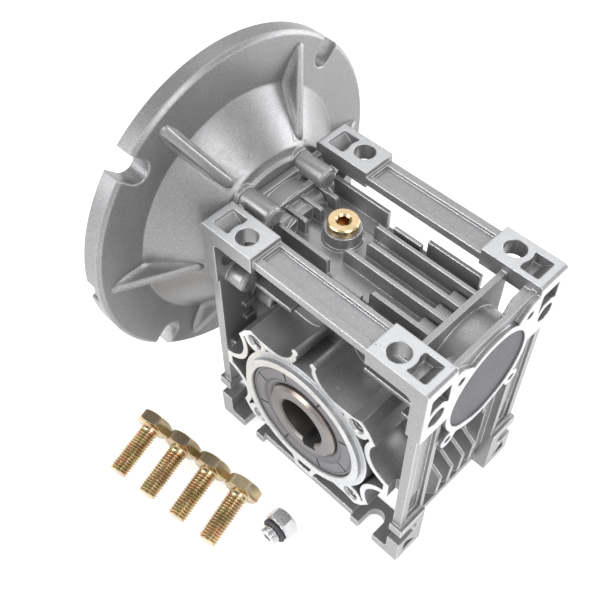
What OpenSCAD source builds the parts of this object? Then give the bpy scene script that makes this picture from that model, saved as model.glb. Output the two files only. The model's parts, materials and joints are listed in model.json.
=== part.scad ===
/* [Gear pair] */
// Distance between the worm axis and the output axis
centre_distance = 50; // [49.5:0.1:50.5]
// Module of the wheel, the axial module of the worm
gear_module = 2; // [1.9:0.05:2.05]
// Teeth on the bronze wheel, one start on the worm
wheel_teeth = 40; // [38:1:40]
// Width of the bronze rim
rim_width = 18; // [14:1:20]
// Clearance on each flank, so the teeth have play
flank_clearance = 0.2; // [0.15:0.01:0.3]
// Clearance between a tooth tip and the root that faces it
tip_clearance = 0.45; // [0.4:0.05:0.6]
// Length of the worm's thread along its axis
thread_length = 56; // [50:1:57]

/* [Housing] */
// Length of the housing along the worm, pad to pad
housing_length = 120; // [118:1:124]
// Width of the housing across its pads
housing_width = 85; // [84:1:90]
// Height of the top pads above the output axis
top_height = 84; // [83:1:88]
// Depth of the feet below the output axis
foot_depth = 60; // [60:1:64]
// Width of each frame rail, front to back
rail_width = 17; // [15:0.5:18]
// Length of each corner pad along the housing
pad_length = 29.5; // [28:0.5:31]
// Thickness of the top pads
pad_thick = 8.5; // [8:0.5:10]
// Thickness of the feet
foot_thick = 5.5; // [5:0.5:7]
// Thickness of the end pads
end_thick = 7; // [6:0.5:8]
// How far the rails lie below the pads
rail_relief = 2.5; // [1:0.5:3]
// How far the rails lie behind the pads' front faces
rail_setback = 1.5; // [0.5:0.5:2.5]
// Spacing of the foot holes along the housing
foot_pitch_x = 80; // [78:1:82]
// Spacing of the foot holes across the housing
foot_pitch_y = 70; // [68:1:72]
// Diameter of the holes in the pads
pad_hole = 9.8; // [8.5:0.1:10]
// Width of the open slots in the feet
foot_slot = 9; // [8.5:0.1:10]
// Height of the end face holes above the output axis
end_hole_z = 61.5; // [60:0.5:63]
// Depth of the end face slots below the output axis
end_slot_z = 38.5; // [37:0.5:40]

/* [Gear case] */
// Inner radius of the wheel chamber
chamber_r = 45; // [44.8:0.1:46]
// Wall of the gear case
case_wall = 3.5; // [3:0.1:4]
// Half width of the chamber, from the wheel's middle to its front wall
chamber_half = 17.5; // [16:0.5:18]
// Where the rear cover seats, behind the wheel's middle
cover_seat = 26; // [25:0.5:28]
// Face of the wavy wall and of the tapped bosses
face_y = 43.5; // [43:0.5:45]
// Thickness of the wavy wall
wave_wall = 2.7; // [2:0.1:3]
// Floor of the recess inside the wavy wall
recess_floor = 23; // [22:0.5:26]
// Pitch circle of the four tapped holes round the output
face_pcd = 85; // [84:1:88]
// Core diameter of the tapped M8 holes
face_tap = 6.8; // [6.6:0.1:7]
// Depth of the tapped M8 holes
face_tap_depth = 14; // [12:1:16]
// Diameter of the output pilot
pilot_d = 70; // [70:0.5:72]
// Height of the output pilot
pilot_height = 2.5; // [2:0.5:4]

/* [Output shaft] */
// Length of the hollow output shaft
hub_length = 92; // [90:1:96]
// Diameter of the hollow shaft in its bearings and seals
hub_d = 40; // [40:0.5:41]
// Bore of the hollow output shaft
output_bore = 25; // [24:0.5:26]
// Width of the output keyway
key_w = 8; // [6:1:8]
// From the far side of the bore to the keyway's floor
key_across = 28.3; // [27.3:0.1:29]
// Direction of the keyway, from +X towards +Z
key_angle = -67; // [-180:1:180]
// Diameter of the hub between the bearings' shoulders
shoulder_d = 47; // [45:1:48]
// Inner face of each output bearing, from the wheel's middle
bearing_y = 21; // [20.5:0.5:22]

/* [Worm shaft] */
// Bore of the hollow input
input_bore = 15.875; // [14:0.005:16]
// Width of the input keyway
input_key_w = 4.76; // [4.5:0.01:5]
// From the far side of the bore to the input keyway's floor
input_key_across = 18.2; // [17.8:0.1:18.6]
// End of the hollow input, ahead of the output axis
input_end = 76; // [74:1:80]
// Depth of the input bore
input_depth = 36.5; // [34:0.5:38]
// Diameter of the shaft in the input bearing and seal
input_d = 30; // [30:0.5:30.5]
// Diameter of the shaft in the rear bearing
rear_d = 20; // [19:0.5:20.5]
// Inner face of the input bearing, ahead of the output axis
input_bearing_x = 49; // [48:0.5:50]
// Inner face of the rear bearing, behind the output axis
rear_bearing_x = 42; // [41.5:0.5:42.5]
// Clearance of the worm tunnel round the thread
tunnel_gap = 0.9; // [0.7:0.1:1.5]
// Wall round the worm tunnel
tunnel_wall = 3; // [2.5:0.1:3.5]

/* [Cooling fins] */
// Height of the fins' tops above the output axis
fin_top = 73.5; // [70:0.5:76]
// Floor between the fins
fin_floor = 65.5; // [64:0.5:67]
// Distance between neighbouring fins
fin_pitch = 9.4; // [8.5:0.1:10]
// Thickness of a fin
fin_t = 1.9; // [1.5:0.1:2.5]
// Distance between the fins under the end bearing
end_fin_pitch = 8.2; // [7.5:0.1:9]

/* [Input flange] */
// Outer diameter of the motor flange
flange_d = 165.1; // [160:0.1:170]
// Thickness of the flange at its rim
flange_t = 10; // [9:0.5:12]
// Motor face, ahead of the output axis
motor_face = 92.5; // [91:0.5:96]
// Register for the motor's spigot
register_d = 114.3; // [110:0.1:116]
// Depth of the register
register_depth = 5; // [4:0.5:6]
// Bolt circle of the motor
motor_pcd = 149.2; // [146:0.1:152]
// Width of the open motor slots
motor_slot = 11; // [10:0.1:12]
// Diameter of the cone at the flange
cone_big = 115; // [110:1:120]
// Diameter of the cone at the housing
cone_small = 76; // [75:1:78]
// Wall of the cone
cone_wall = 4.5; // [4:0.5:6]
// Thickness of the cone's base plate
base_t = 7.8; // [7.5:0.1:9]
// How far the flange screws' circle lies inside the small end of the cone
screw_inset = 11; // [10.5:0.5:12]
// How far the ribs end inside the flange's rim
rib_inset = 6.5; // [6:0.5:9]

/* [Fits] */
// Clearance round parts that are pressed or seated together
seat_clearance = 0.03; // [0.02:0.01:0.05]
// Clearance round parts that run against each other
run_clearance = 0.08; // [0.05:0.01:0.1]
// Clearance round screws in their holes
screw_clearance = 0.3; // [0.2:0.05:0.4]

/* [Hidden] */
$fn = 64;

half_l = housing_length / 2;
half_w = housing_width / 2;
hub_end = hub_length / 2;
rail_y0 = half_w - rail_width;
case_r = chamber_r + case_wall;
cross_wall_x = 41;
pilot_end = face_y + pilot_height;
base_pcd = cone_small - screw_inset;
plate_top = top_height - 5.5;
wave_x = half_l - 10;

// Bearings: bore, outer diameter, width, ball diameter, number of balls
OUTPUT_BRG = [hub_d, 68, 15, 7.9, 13];
INPUT_BRG = [input_d, 47, 9, 4.76, 15];
REAR_BRG = [rear_d, 42, 12, 6.35, 9];
seal_w = 8;
seal_bore_d = 62;
input_seal_w = 7;
circlip_t = 1.75;
cap_d = REAR_BRG[1] + 5;
cap_t = 2.1;
ring_r = cap_d / 2 + 2.6;

// Draws the child's X and Y as X and Z, from y0 to y1
module along_y(y0, y1) translate([0, y1, 0]) rotate([90, 0, 0]) linear_extrude(y1 - y0) children();

// Draws the child's X and Y as Y and Z, from x0 to x1
module along_x(x0, x1) translate([x0, 0, 0]) rotate([90, 0, 90]) linear_extrude(x1 - x0) children();

// Turns the child's profile, radius against length, about the output axis
module turn_y() rotate([-90, 0, 0]) rotate_extrude($fn = 96) children();

// Turns the child's profile, radius against length, about the worm axis
module turn_x() translate([0, 0, centre_distance]) rotate([0, 90, 0]) rotate_extrude($fn = 96) children();

module cyl_y(r, y0, y1) translate([0, y0, 0]) rotate([-90, 0, 0]) cylinder(r = r, h = y1 - y0);

module cyl_x(r, x0, x1) translate([x0, 0, 0]) rotate([0, 90, 0]) cylinder(r = r, h = x1 - x0);

module at_worm() translate([0, 0, centre_distance]) children();

module block(x0, x1, y0, y1, z0, z1) translate([x0, y0, z0]) cube([x1 - x0, y1 - y0, z1 - z0]);

module both_x() for (m = [0, 1]) mirror([m, 0, 0]) children();

module both_y() for (m = [0, 1]) mirror([0, m, 0]) children();

module quarter_turns() for (a = [45, 135, 225, 315]) rotate([0, a, 0]) children();

// A rectangle with round corners
module round_rect(x0, x1, y0, y1, r) {
  translate([x0 + r, y0]) square([x1 - x0 - 2 * r, y1 - y0]);
  translate([x0, y0 + r]) square([x1 - x0, y1 - y0 - 2 * r]);
  for (x = [x0 + r, x1 - r], y = [y0 + r, y1 - r]) translate([x, y]) circle(r, $fn = 32);
}

// Frame of the housing

// The frame's outline with its proud corner pads
module pad_outline() {
  difference() {
    round_rect(-half_l, half_l, -foot_depth, top_height, 1.5);
    round_rect(-(half_l - end_thick), half_l - end_thick, -(foot_depth - foot_thick),
      top_height - pad_thick, 3);
    translate([-half_l - 1, -(end_slot_z - 10)]) square([housing_length + 2, top_height - 33 + end_slot_z - 10]);
    translate([-(half_l - pad_length), -foot_depth - 1]) square([2 * (half_l - pad_length), top_height + foot_depth + 2]);
  }
}

// The thinner rails and posts between the pads
module rail_outline() {
  difference() {
    translate([-(half_l - rail_relief + 0.5), -(foot_depth - rail_relief - 0.5)])
      square([2 * (half_l - rail_relief + 0.5), top_height + foot_depth - 2 * rail_relief - 0.5]);
    round_rect(-(half_l - end_thick + 0.5), half_l - end_thick + 0.5, -(foot_depth - foot_thick - 2),
      top_height - pad_thick + 2, 3);
    both_x2() translate([half_l - pad_length, -(foot_depth - foot_thick)]) square([pad_length - end_thick, 5]);
  }
}

module frame() {
  both_y() {
    along_y(rail_y0, half_w) pad_outline();
    along_y(rail_y0, half_w - rail_setback) rail_outline();
  }
}

// Shallow troughs that lighten the rails and the posts
module rail_troughs() {
  y0 = rail_y0 + 2.2;
  y1 = half_w - rail_setback - 3.5;
  both_y() {
    block(-(half_l - pad_length) + 1.5, half_l - pad_length - 1.5, y0, y1,
      top_height - rail_relief - 1.8, top_height);
    both_x() block(half_l - rail_relief - 1.4, half_l, y0, y1, -(end_slot_z - 12), top_height - 35);
    both_x() block(half_l - rail_relief - 2.6, half_l, y0 + 1, y1 - 1, -(end_slot_z - 13), -(end_slot_z - 28));
  }
}

// Pocket in a pad, rounded round the hole beside it
module pad_pocket(hole, box) {
  difference() {
    round_rect(box[0], box[1], box[2], box[3], 1.2);
    translate(hole) circle(pad_hole / 2 + 2.6);
  }
}

module frame_holes() {
  hx = foot_pitch_x / 2;
  hy = foot_pitch_y / 2;
  both_x() both_y() {
    translate([hx, hy, top_height - pad_thick - 1]) cylinder(r = pad_hole / 2, h = pad_thick + 2);
    translate([hx, hy, -foot_depth - 1]) cylinder(r = foot_slot / 2, h = foot_thick + 2);
    block(hx - foot_slot / 2, hx + foot_slot / 2, hy, half_w + 1, -foot_depth - 1, -foot_depth + foot_thick + 1);
    translate([0, hy - 0.5, end_hole_z]) cyl_x(pad_hole / 2 - 0.2, half_l - end_thick - 1, half_l + 1);
    translate([0, hy - 0.5, -end_slot_z]) cyl_x(foot_slot / 2, half_l - end_thick - 1, half_l + 1);
    block(half_l - end_thick - 1, half_l + 1, hy - 0.5, half_w + 1,
      -end_slot_z - foot_slot / 2, -end_slot_z + foot_slot / 2);
    intersection() {
      translate([0, 0, top_height - 5.5]) linear_extrude(7)
        pad_pocket([hx, hy], [half_l - 13.4, half_l - 4.2, rail_y0 + 2.6, half_w - 3.2]);
      along_y(rail_y0, half_w) polygon([[half_l - 14, top_height - 5.5], [half_l - 9.2, top_height - 5.5],
        [half_l - 5, top_height - 1.4], [half_l - 4, top_height - 1], [half_l - 4, top_height + 2],
        [half_l - 14, top_height + 2]]);
    }
    along_x(half_l - 3.4, half_l + 1)
      pad_pocket([hy - 0.5, end_hole_z], [rail_y0 + 2.6, half_w - 3.2, end_hole_z + 4, top_height - 6.5]);
    along_x(half_l - 3.4, half_l + 1) polygon([[half_w - 3, -foot_depth + 5.6], [half_w - 4.9, -foot_depth + 14.2],
      [half_w - 8.3, -foot_depth + 11.9], [half_w - 13.7, -foot_depth + 5.6]]);
  }
}

// Gear case round the wheel

// Outline of the wavy wall, moved inwards by t
module wave_outline(t) {
  difference() {
    both_x2() both_y2() polygon([[-1, -1], [wave_x - t, -1], [wave_x - t, 20], [40.2 - 0.9 * t, 27.2 - 0.1 * t],
      [36.8 - 0.8 * t, 32.6 - 0.5 * t], [32.8 - 0.3 * t, 36.2 - 0.9 * t], [26.6, 48.5 - t], [-1, 48.5 - t]]);
    both_x2() both_y2() {
      translate([52.2, 18.8]) circle(14.1 + t);
      translate([20, 48.3]) circle(14 + t);
      polygon([[20, 34.3 - t], [27, 34.5 - t], [32.8 - 0.3 * t, 36.2 - 0.9 * t], [34, 50], [20, 50]]);
    }
  }
}

module both_x2() {
  children();
  mirror([1, 0]) children();
}

module both_y2() {
  children();
  mirror([0, 1]) children();
}

// The recess between the wavy wall, the bosses and the pilot ring
module wave_recess() {
  boss = face_pcd / 2;
  difference() {
    wave_outline(wave_wall);
    circle(pilot_d / 2 + 2.6);
    for (a = [45, 135, 225, 315]) rotate(a) translate([boss, 0]) circle(face_tap / 2 + 3.4);
    for (a = [45, 135, 225, 315]) rotate(a) translate([pilot_d / 2, -4]) square([boss - pilot_d / 2 + 7, 8]);
  }
}

module front_face() {
  difference() {
    along_y(-face_y, -chamber_half) wave_outline(0);
    along_y(-face_y - 1, -recess_floor) wave_recess();
    block(-4.6, 4.6, -face_y - 1, -recess_floor, 38.5, 52);
  }
  both_x() translate([5.2, 0, 0]) cyl_y_at(1.7, -face_y, -recess_floor, 0, 47);
}

module cyl_y_at(r, y0, y1, x, z) translate([x, 0, z]) cyl_y(r, y0, y1);

// Seats of the seal and the bearing, from the outside in, on the side towards -Y
module output_seats() {
  r_brg = OUTPUT_BRG[1] / 2 + seat_clearance;
  r_seal = seal_bore_d / 2 + seat_clearance;
  brg_out = bearing_y + OUTPUT_BRG[2];
  turn_y() polygon([[0, -pilot_end - 1], [r_seal + 1, -pilot_end - 1], [r_seal, -pilot_end + 0.6],
    [r_seal, -brg_out - 0.02], [r_brg, -brg_out - 0.02], [r_brg, -chamber_half + 1], [0, -chamber_half + 1]]);
}

module face_taps() quarter_turns() translate([face_pcd / 2, 0, 0]) {
  cyl_y(face_tap / 2, -face_y - 1, -face_y + face_tap_depth);
  translate([0, -face_y, 0]) rotate([90, 0, 0]) translate([0, 0, -0.8])
    cylinder(r1 = face_tap / 2, r2 = face_tap / 2 + 1.8, h = 1.8);
}

// Worm tunnel and what surrounds it

module worm_tube() {
  at_worm() {
    cyl_x(thread_tip + tunnel_gap + tunnel_wall, -half_l + 2, half_l - 10);
    cyl_x(INPUT_BRG[1] / 2 + 3.6, -half_l, -input_bearing_x + 0.5);
    cyl_x(22, -input_bearing_x, -input_bearing_x + 8);
    cyl_x(ring_r - 1.5, cross_wall_x + 0.2, half_l - 2);
    cyl_x(ring_r, half_l - 4, half_l);
  }
  along_x(-half_l + 14, cross_wall_x + 1) round_rect(-15.5, 15.5, 40, fin_floor, 1.5);
}

// Holes of the worm tunnel, from the flange end to the end cap
module worm_bores() at_worm() {
  x_brg = rear_bearing_x + REAR_BRG[2];
  cyl_x(thread_tip + tunnel_gap, -half_l, half_l);
  cyl_x(18.5, -input_bearing_x - 1, -input_bearing_x + 4);
  cyl_x(INPUT_BRG[1] / 2 + seat_clearance, -half_l - 1, -input_bearing_x);
  cyl_x(REAR_BRG[1] / 2 + seat_clearance, rear_bearing_x, half_l);
  cyl_x(REAR_BRG[1] / 2 + 1.3, x_brg + 0.03, x_brg + circlip_t + 0.1);
  cyl_x(cap_d / 2 + seat_clearance, half_l - cap_t - 0.9, half_l + 1);
}

lug_r = 30.3;
screw_boss_r = 5.2;

// Bosses of the flange screws on the housing's input end
module flange_bosses() at_worm() for (a = [0:60:300]) rotate([a, 0, 0]) translate([0, base_pcd / 2, 0]) {
  screw_boss(-half_l, 17);
}

// A boss along +X from x0, its far end rounded
module screw_boss(x0, len) translate([x0, 0, 0]) rotate([0, 90, 0]) rotate_extrude($fn = 40)
  polygon([[0, 0], [screw_boss_r, 0], [screw_boss_r, len - 2], [screw_boss_r - 0.5, len - 0.8],
    [screw_boss_r - 1.8, len], [0, len]]);

// Tapped lugs round the end cap
module end_lugs() {
  at_worm() for (a = [45, 135, 225, 315]) rotate([a, 0, 0]) {
    translate([0, lug_r, 0]) cyl_x(4.2, half_l - 9, half_l);
    block(half_l - 9, half_l, ring_r - 2, lug_r, -3.4, 3.4);
  }
  // webs from the upper lugs to the pads
  both_y() along_x(half_l - 8, half_l) polygon([[rail_y0 + 0.6, top_height - 4.5], [21, top_height - 5.5],
    [14, top_height - 11], [19, 62], [23.5, 54], [rail_y0 + 0.6, top_height - 31]]);
}

module end_lug_holes() at_worm() for (a = [45, 135, 225, 315]) rotate([a, 0, 0]) translate([0, lug_r, 0])
  cyl_x(2.1, half_l - 10, half_l + 1);

module end_walls() {
  // mounting plate of the motor flange
  difference() {
    intersection() {
      at_worm() cyl_x(cone_small / 2, -half_l, -half_l + 3.2);
      block(-half_l, 0, -half_w + 3, half_w - 3, 0, plate_top);
    }
    at_worm() for (a = [60, 120]) rotate([a, 0, 0]) translate([0, base_pcd / 2, 0])
      cyl_x(screw_boss_r - 1, -half_l - 1, -half_l + 5);
  }
  // wall between the input end's posts
  block(-half_l + 1, -half_l + 4.6, -rail_y0 - 2, rail_y0 + 2, -15, plate_top - 3);
  // cross wall ahead of the end bearing
  block(cross_wall_x, cross_wall_x + 2.6, -rail_y0 - 1, rail_y0 + 1, 44, top_height - 4);
  // end rib between the end pads
  block(half_l - 4.5, half_l - 2.2, -rail_y0 - 1, rail_y0 + 1, 50, top_height - 3.5);
}

// Cooling fins along the top of the worm tunnel
module top_fins() {
  x_end = cross_wall_x + 1;
  x_in = -half_l + 8.7;
  x_boss = -half_l + 24;
  for (y = [-0.5, 0.5]) {
    fin_x(y * fin_pitch, x_in, x_boss, fin_top);
    fin_x(y * fin_pitch, -12.1 + 4.2 * y, x_end, fin_top);
  }
  fin_x(-1.5 * fin_pitch, x_in + 7.3, -14.5, fin_top);
  fin_x(-1.5 * fin_pitch, 8.5, x_end, fin_top);
  fin_x(1.5 * fin_pitch, x_in, x_boss, fin_top);
  fin_x(1.5 * fin_pitch, -14, x_end, fin_top);
  // rib across the tunnel beside the input bearing
  block(x_in, x_in + 3.1, -17, 17, centre_distance, fin_top + 2.5);
  // humps between the fins behind that rib
  for (y = [-1, 0, 1]) along_y(y * fin_pitch - 3.2, y * fin_pitch + 3.2)
    polygon([[x_in, 60], [x_in + 11.3, 60], [x_in + 10.6, 66.5], [x_in + 8.2, 71], [x_in + 7, 72], [x_in, 72.4]]);
  // low steps between the fins at the cross wall
  for (y = [-1, 0, 1]) block(x_end - 12, x_end, y * fin_pitch - 3, y * fin_pitch + 3, 60, fin_floor + 3.5);
}

module fin_x(y, x0, x1, top) along_y(y - fin_t / 2, y + fin_t / 2) polygon([[x0, fin_floor - 4], [x1, fin_floor - 4],
  [x1, top - 1.3], [x1 - 0.4, top - 0.4], [x1 - 1.3, top], [x0 + 1.3, top], [x0 + 0.4, top - 0.4], [x0, top - 1.3]]);

// Fins at the tunnel's sides, standing on a narrow shelf
module side_fins() {
  y = 2.5 * fin_pitch;
  x_end = cross_wall_x + 1;
  both_y() {
    block(-half_l + 14, -14.5, y - 1, y + 0.9, fin_floor - 3, fin_top);
    block(8, x_end - 7, y - 1.9, y, fin_floor - 3, fin_top);
    block(-7.4, 7.5, 17.6, 19.4, fin_floor - 3, fin_top);
    block(-half_l + 14, x_end, 12, y + 0.9, fin_floor - 4, fin_floor - 1.5);
    block(-44, -22, 12, 29, 45, 47.2);
    block(20, half_l - 5, 12, 29, 45, 47.2);
    block(41, half_l - 5, 12, 29, 35, 37);
    for (z = [14, 23.5]) block(-half_l + 3, -half_l + 9, 24, 29.5, z, z + 1.8);
  }
}

// Upright fins under the end bearing
module end_fins() {
  for (k = [-1.5:1:1.5]) along_y(k * end_fin_pitch - fin_t / 2, k * end_fin_pitch + fin_t / 2)
    polygon([[40, -14], [49.5, -15.5], [half_l - 3, -21.5], [half_l - 3.6, -36.5], [52.5, -42], [30, -42]]);
}

// Webs that tie the gear case to the frame
module case_webs() {
  x_post = half_l - end_thick + 1;
  both_x() {
    block(case_r - 2.5, x_post, -half_w + rail_setback + 3, -18, -4.2, 4.2);
    block(case_r - 2.5, x_post, 18, cover_seat - 0.3, -4.2, 4.2);
    // gusset from the case to the rear post
    along_y(20.6, cover_seat - 0.5) polygon([[case_r - 5, 7], [x_post, 7], [x_post, -41], [51, -37], [47, -29],
      [case_r - 5, -19]]);
    block(x_post - 5, x_post - 1, -rail_y0 - 1, rail_y0 + 1, -foot_depth + 2.5, -foot_depth + 6.5);
  }
  block(-4.2, 4.2, -half_w + rail_setback + 3, cover_seat - 0.3, -foot_depth + 5, -case_r + 2.5);
}

plug_x = -24;
plug_y = 4.7;
plug_seat = 72.2;
plug_thread = 9.73;
plug_collar = 14;

module plug_boss() translate([plug_x, plug_y, 0]) {
  translate([0, 0, centre_distance + 9]) cylinder(r1 = 9.2, r2 = 8.2, h = plug_seat - centre_distance - 9);
  translate([0, 0, fin_floor - 2]) cylinder(r1 = 10.4, r2 = 8.8, h = 3.2);
}

module cover_lugs() for (a = [22.5:45:359]) rotate([0, a, 0]) translate([cover_screw_r, 0, 0])
  cyl_y(4.4, chamber_half - 2.7, cover_seat);

// Outline of the cover's flange, grown by g
module cover_outline(g) {
  circle(case_r - 1 + g);
  for (a = [22.5:45:359]) rotate(a) translate([cover_screw_r, 0]) circle(4.6 + g);
}

cover_screw_r = 48;
cover_screw = 5;

module housing() color("silver") {
  difference() {
    union() {
      frame();
      front_face();
      cyl_y(case_r, -chamber_half - 3.5, cover_seat);
      turn_y() polygon([[0, -face_y], [pilot_d / 2 + 2.6, -face_y], [pilot_d / 2 + 3.4, -face_y + 6],
        [pilot_d / 2 + 3.4, -chamber_half], [0, -chamber_half]]);
      cyl_y(pilot_d / 2, -pilot_end, -face_y);
      cover_lugs();
      worm_tube();
      flange_bosses();
      end_lugs();
      end_walls();
      top_fins();
      side_fins();
      end_fins();
      case_webs();
      plug_boss();
    }
    rail_troughs();
    frame_holes();
    cyl_y(chamber_r, -chamber_half, cover_seat + 20);
    output_seats();
    face_taps();
    worm_bores();
    end_lug_holes();
    at_worm() for (a = [0:60:300]) rotate([a, 0, 0]) translate([0, base_pcd / 2, 0])
      cyl_x(2.5, -half_l - 1, -half_l + 13);
    translate([plug_x, plug_y, centre_distance]) cylinder(r = plug_thread / 2 + 0.1, h = 40);
    for (a = [22.5:45:359]) rotate([0, a, 0]) translate([cover_screw_r, 0, 0])
      cyl_y(cover_screw / 2 - 0.4, cover_seat - 9, cover_seat + 1);
    along_y(cover_seat, half_w + 5) cover_outline(0.6);
  }
}

// Rear cover, bolted on behind the wheel

module output_cover() color("gainsboro") {
  difference() {
    union() {
      along_y(cover_seat + 0.02, cover_seat + 4.5) cover_outline(0);
      cyl_y(chamber_r - seat_clearance, chamber_half, cover_seat + 1);
      turn_y() polygon([[0, chamber_half], [pilot_d / 2 + 3.4, chamber_half], [pilot_d / 2 + 3.4, face_y - 6],
        [pilot_d / 2 + 2.6, face_y], [0, face_y]]);
      cyl_y(pilot_d / 2, face_y - 1, pilot_end);
      quarter_turns() translate([face_pcd / 2, 0, 0]) cyl_y(face_tap / 2 + 3.4, cover_seat + 2, face_y);
      for (a = [0:90:270]) rotate([0, a, 0]) along_z_rib();
    }
    mirror([0, 1, 0]) output_seats();
    mirror([0, 1, 0]) face_taps();
    for (a = [22.5:45:359]) rotate([0, a, 0]) translate([cover_screw_r, 0, 0])
      cyl_y(cover_screw / 2 + screw_clearance, cover_seat - 1, cover_seat + 6);
    // groove of the sealing ring
    turn_y() translate([chamber_r - oring_t, 21.2]) square([3, oring_t + 0.5]);
    cyl_y(chamber_r - 4, chamber_half - 1, bearing_y - 1.5);
  }
}

// A tapered rib from the pilot ring down to the cover's rim
module along_z_rib() along_y2() polygon([[pilot_d / 2, cover_seat + 3], [case_r - 3, cover_seat + 3],
  [pilot_d / 2 + 1, face_y - 2], [pilot_d / 2 - 1, face_y - 2]]);

module along_y2() translate([0, 0, -1.5]) linear_extrude(3) children();

oring_t = 1.8;

module cover_oring() color("dimgray") turn_y()
  translate([chamber_r - oring_t / 2 - 0.01, 21.2 + oring_t / 2 + 0.25]) circle(oring_t / 2 - 0.06, $fn = 32);

// Socket head screw of nominal size d along +Z from its head's seat, with shank radius r
module cap_screw(d, r, len) {
  difference() {
    union() {
      translate([0, 0, -d]) cylinder(r = d * 0.835, h = d);
      cylinder(r = r, h = len);
    }
    translate([0, 0, -d - 1]) cylinder(r = d * 0.475, h = d * 0.55 + 1, $fn = 6);
  }
}

module cover_screws() color("dimgray") for (a = [22.5:45:359]) rotate([0, a, 0])
  translate([cover_screw_r, cover_seat + 4.53, 0]) rotate([90, 0, 0]) cap_screw(cover_screw, cover_screw / 2 - 0.45, 12.5);

// Input side

module flange_slots() at_worm() for (a = [45:90:315]) rotate([a, 0, 0]) {
  translate([0, motor_pcd / 2, 0]) cyl_x(motor_slot / 2, -motor_face - 1, -motor_face + flange_t + 5);
  block(-motor_face - 1, -motor_face + flange_t + 5, motor_pcd / 2, flange_d / 2 + 5, -motor_slot / 2, motor_slot / 2);
}

module input_flange() color("silver") {
  face = motor_face - flange_t;
  difference() {
    union() {
      turn_x() polygon([[0, -motor_face], [flange_d / 2 - 0.8, -motor_face], [flange_d / 2, -motor_face + 0.8],
        [flange_d / 2, -face - 1.5], [flange_d / 2 - 1.5, -face], [cone_big / 2 + 1.5, -face + 0.3],
        [cone_big / 2 - 1, -face + 2.2], [cone_small / 2 + 1.2, -half_l - 3.9], [cone_small / 2 + 0.5, -half_l - 3.1],
        [cone_small / 2 - 1.2, -half_l - 2.9], [cone_small / 2 - 3.6, -half_l - 1.8],
        [cone_small / 2 - 4, -half_l - 0.42], [0, -half_l - 0.42]]);
      at_worm() for (a = [0:60:300]) rotate([a, 0, 0]) {
        flange_rib(face);
        translate([-half_l - 0.42, base_pcd / 2, 0]) mirror([1, 0, 0]) scale([1, 1.08, 1.08]) screw_boss(0, 7);
      }
      at_worm() cyl_x(INPUT_BRG[1] / 2 - 0.05, -half_l - 1, -input_bearing_x - INPUT_BRG[2] - 0.05);
    }
    flange_slots();
    turn_x() polygon([[0, -motor_face - 1], [register_d / 2, -motor_face - 1],
      [register_d / 2, -motor_face + register_depth], [register_d / 2 - 5, -motor_face + register_depth],
      [register_d / 2 - 5, -face - 0.5], [base_pcd / 2 + 5.4, -half_l - base_t], [0, -half_l - base_t]]);
    at_worm() {
      cyl_x(INPUT_BRG[1] / 2 - 3, -half_l - base_t - 1, -half_l + 10);
      cyl_x(INPUT_BRG[1] / 2 + seat_clearance, -half_l - base_t - 1, -half_l - base_t + input_seal_w + 0.2);
      for (a = [0:60:300]) rotate([a, 0, 0]) translate([0, base_pcd / 2, 0]) {
        cyl_x(3 + screw_clearance, -half_l - base_t - 1, -half_l);
        cyl_x(5.3, -half_l - base_t - 3, -half_l - base_t + 0.6);
      }
      // drain notch in the motor face
      rotate([180, 0, 0]) block(-motor_face - 1, -motor_face + 6.5, flange_d / 2 - 2.6, flange_d / 2 + 1, -3.5, 7.5);
    }
  }
}

// Triangular rib between the disc and the cone, with flared feet
module flange_rib(face) {
  rib_r = flange_d / 2 - rib_inset;
  r0 = cone_big / 2 - 1;
  x0 = -face + 2.2;
  dx = -half_l - 3.9 - x0;
  dr = cone_small / 2 + 1.2 - r0;
  foot = [[-1, -4.2], [0.1, -4.2], [1.1, -2.7], [3, -1.7], [3, 1.7], [1.1, 2.7], [0.1, 4.2], [-1, 4.2]];
  translate([0, 0, -1.8]) linear_extrude(3.6) polygon([[-face - 3, rib_r], [-face - 3, r0 - 2],
    [-half_l - 5, cone_small / 2 - 2], [-half_l - 4.6, cone_small / 2 + 1.2], [-half_l - 5.6, cone_small / 2 + 3.6],
    [-face + 0.8, rib_r - 0.3], [-face + 0.2, rib_r]]);
  along_y(r0 - 4, rib_r - 6) polygon([for (p = foot) [-face + p[0], p[1]]]);
  translate([x0, r0, 0]) rotate([0, 0, atan2(dr, dx)]) along_x(0, norm([dx, dr]) - 1) polygon(foot);
}

module flange_gasket() color("dimgray") difference() {
  at_worm() {
    intersection() {
      cyl_x(cone_small / 2 - 4.2, -half_l - 0.4, -half_l - 0.02);
      block(-half_l - 1, 0, -half_w, half_w, -half_w, plate_top - centre_distance - 0.3);
    }
    for (a = [0:60:300]) rotate([a, 0, 0]) translate([0, base_pcd / 2, 0])
      cyl_x(screw_boss_r - 0.15, -half_l - 0.4, -half_l - 0.02);
  }
  at_worm() cyl_x(INPUT_BRG[1] / 2 + 0.2, -half_l - 1, -half_l + 1);
  at_worm() for (a = [0:60:300]) rotate([a, 0, 0]) translate([0, base_pcd / 2, 0]) cyl_x(3.4, -half_l - 1, -half_l + 1);
}

module flange_screws() color("dimgray") at_worm() for (a = [0:60:300]) rotate([a, 0, 0])
  translate([-half_l - base_t + 0.58, base_pcd / 2, 0]) rotate([0, 90, 0]) cap_screw(6, 2.45, 17);

// Closures

module hex_socket(af, depth) cylinder(r = af / sqrt(3), h = depth, $fn = 6);

module filler_plug() color("goldenrod") translate([plug_x, plug_y, plug_seat + 1.04]) difference() {
  union() {
    rotate_extrude() polygon([[0, 0], [plug_collar / 2, 0], [plug_collar / 2, 2.2],
      [plug_collar / 2 - 0.6, 2.8], [0, 2.8]]);
    translate([0, 0, -9]) cylinder(r = plug_thread / 2 - 0.3, h = 9.5);
  }
  translate([0, 0, -2]) hex_socket(5, 6);
  translate([0, 0, 2]) cylinder(r1 = 2.7, r2 = 3.8, h = 1);
}

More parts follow.
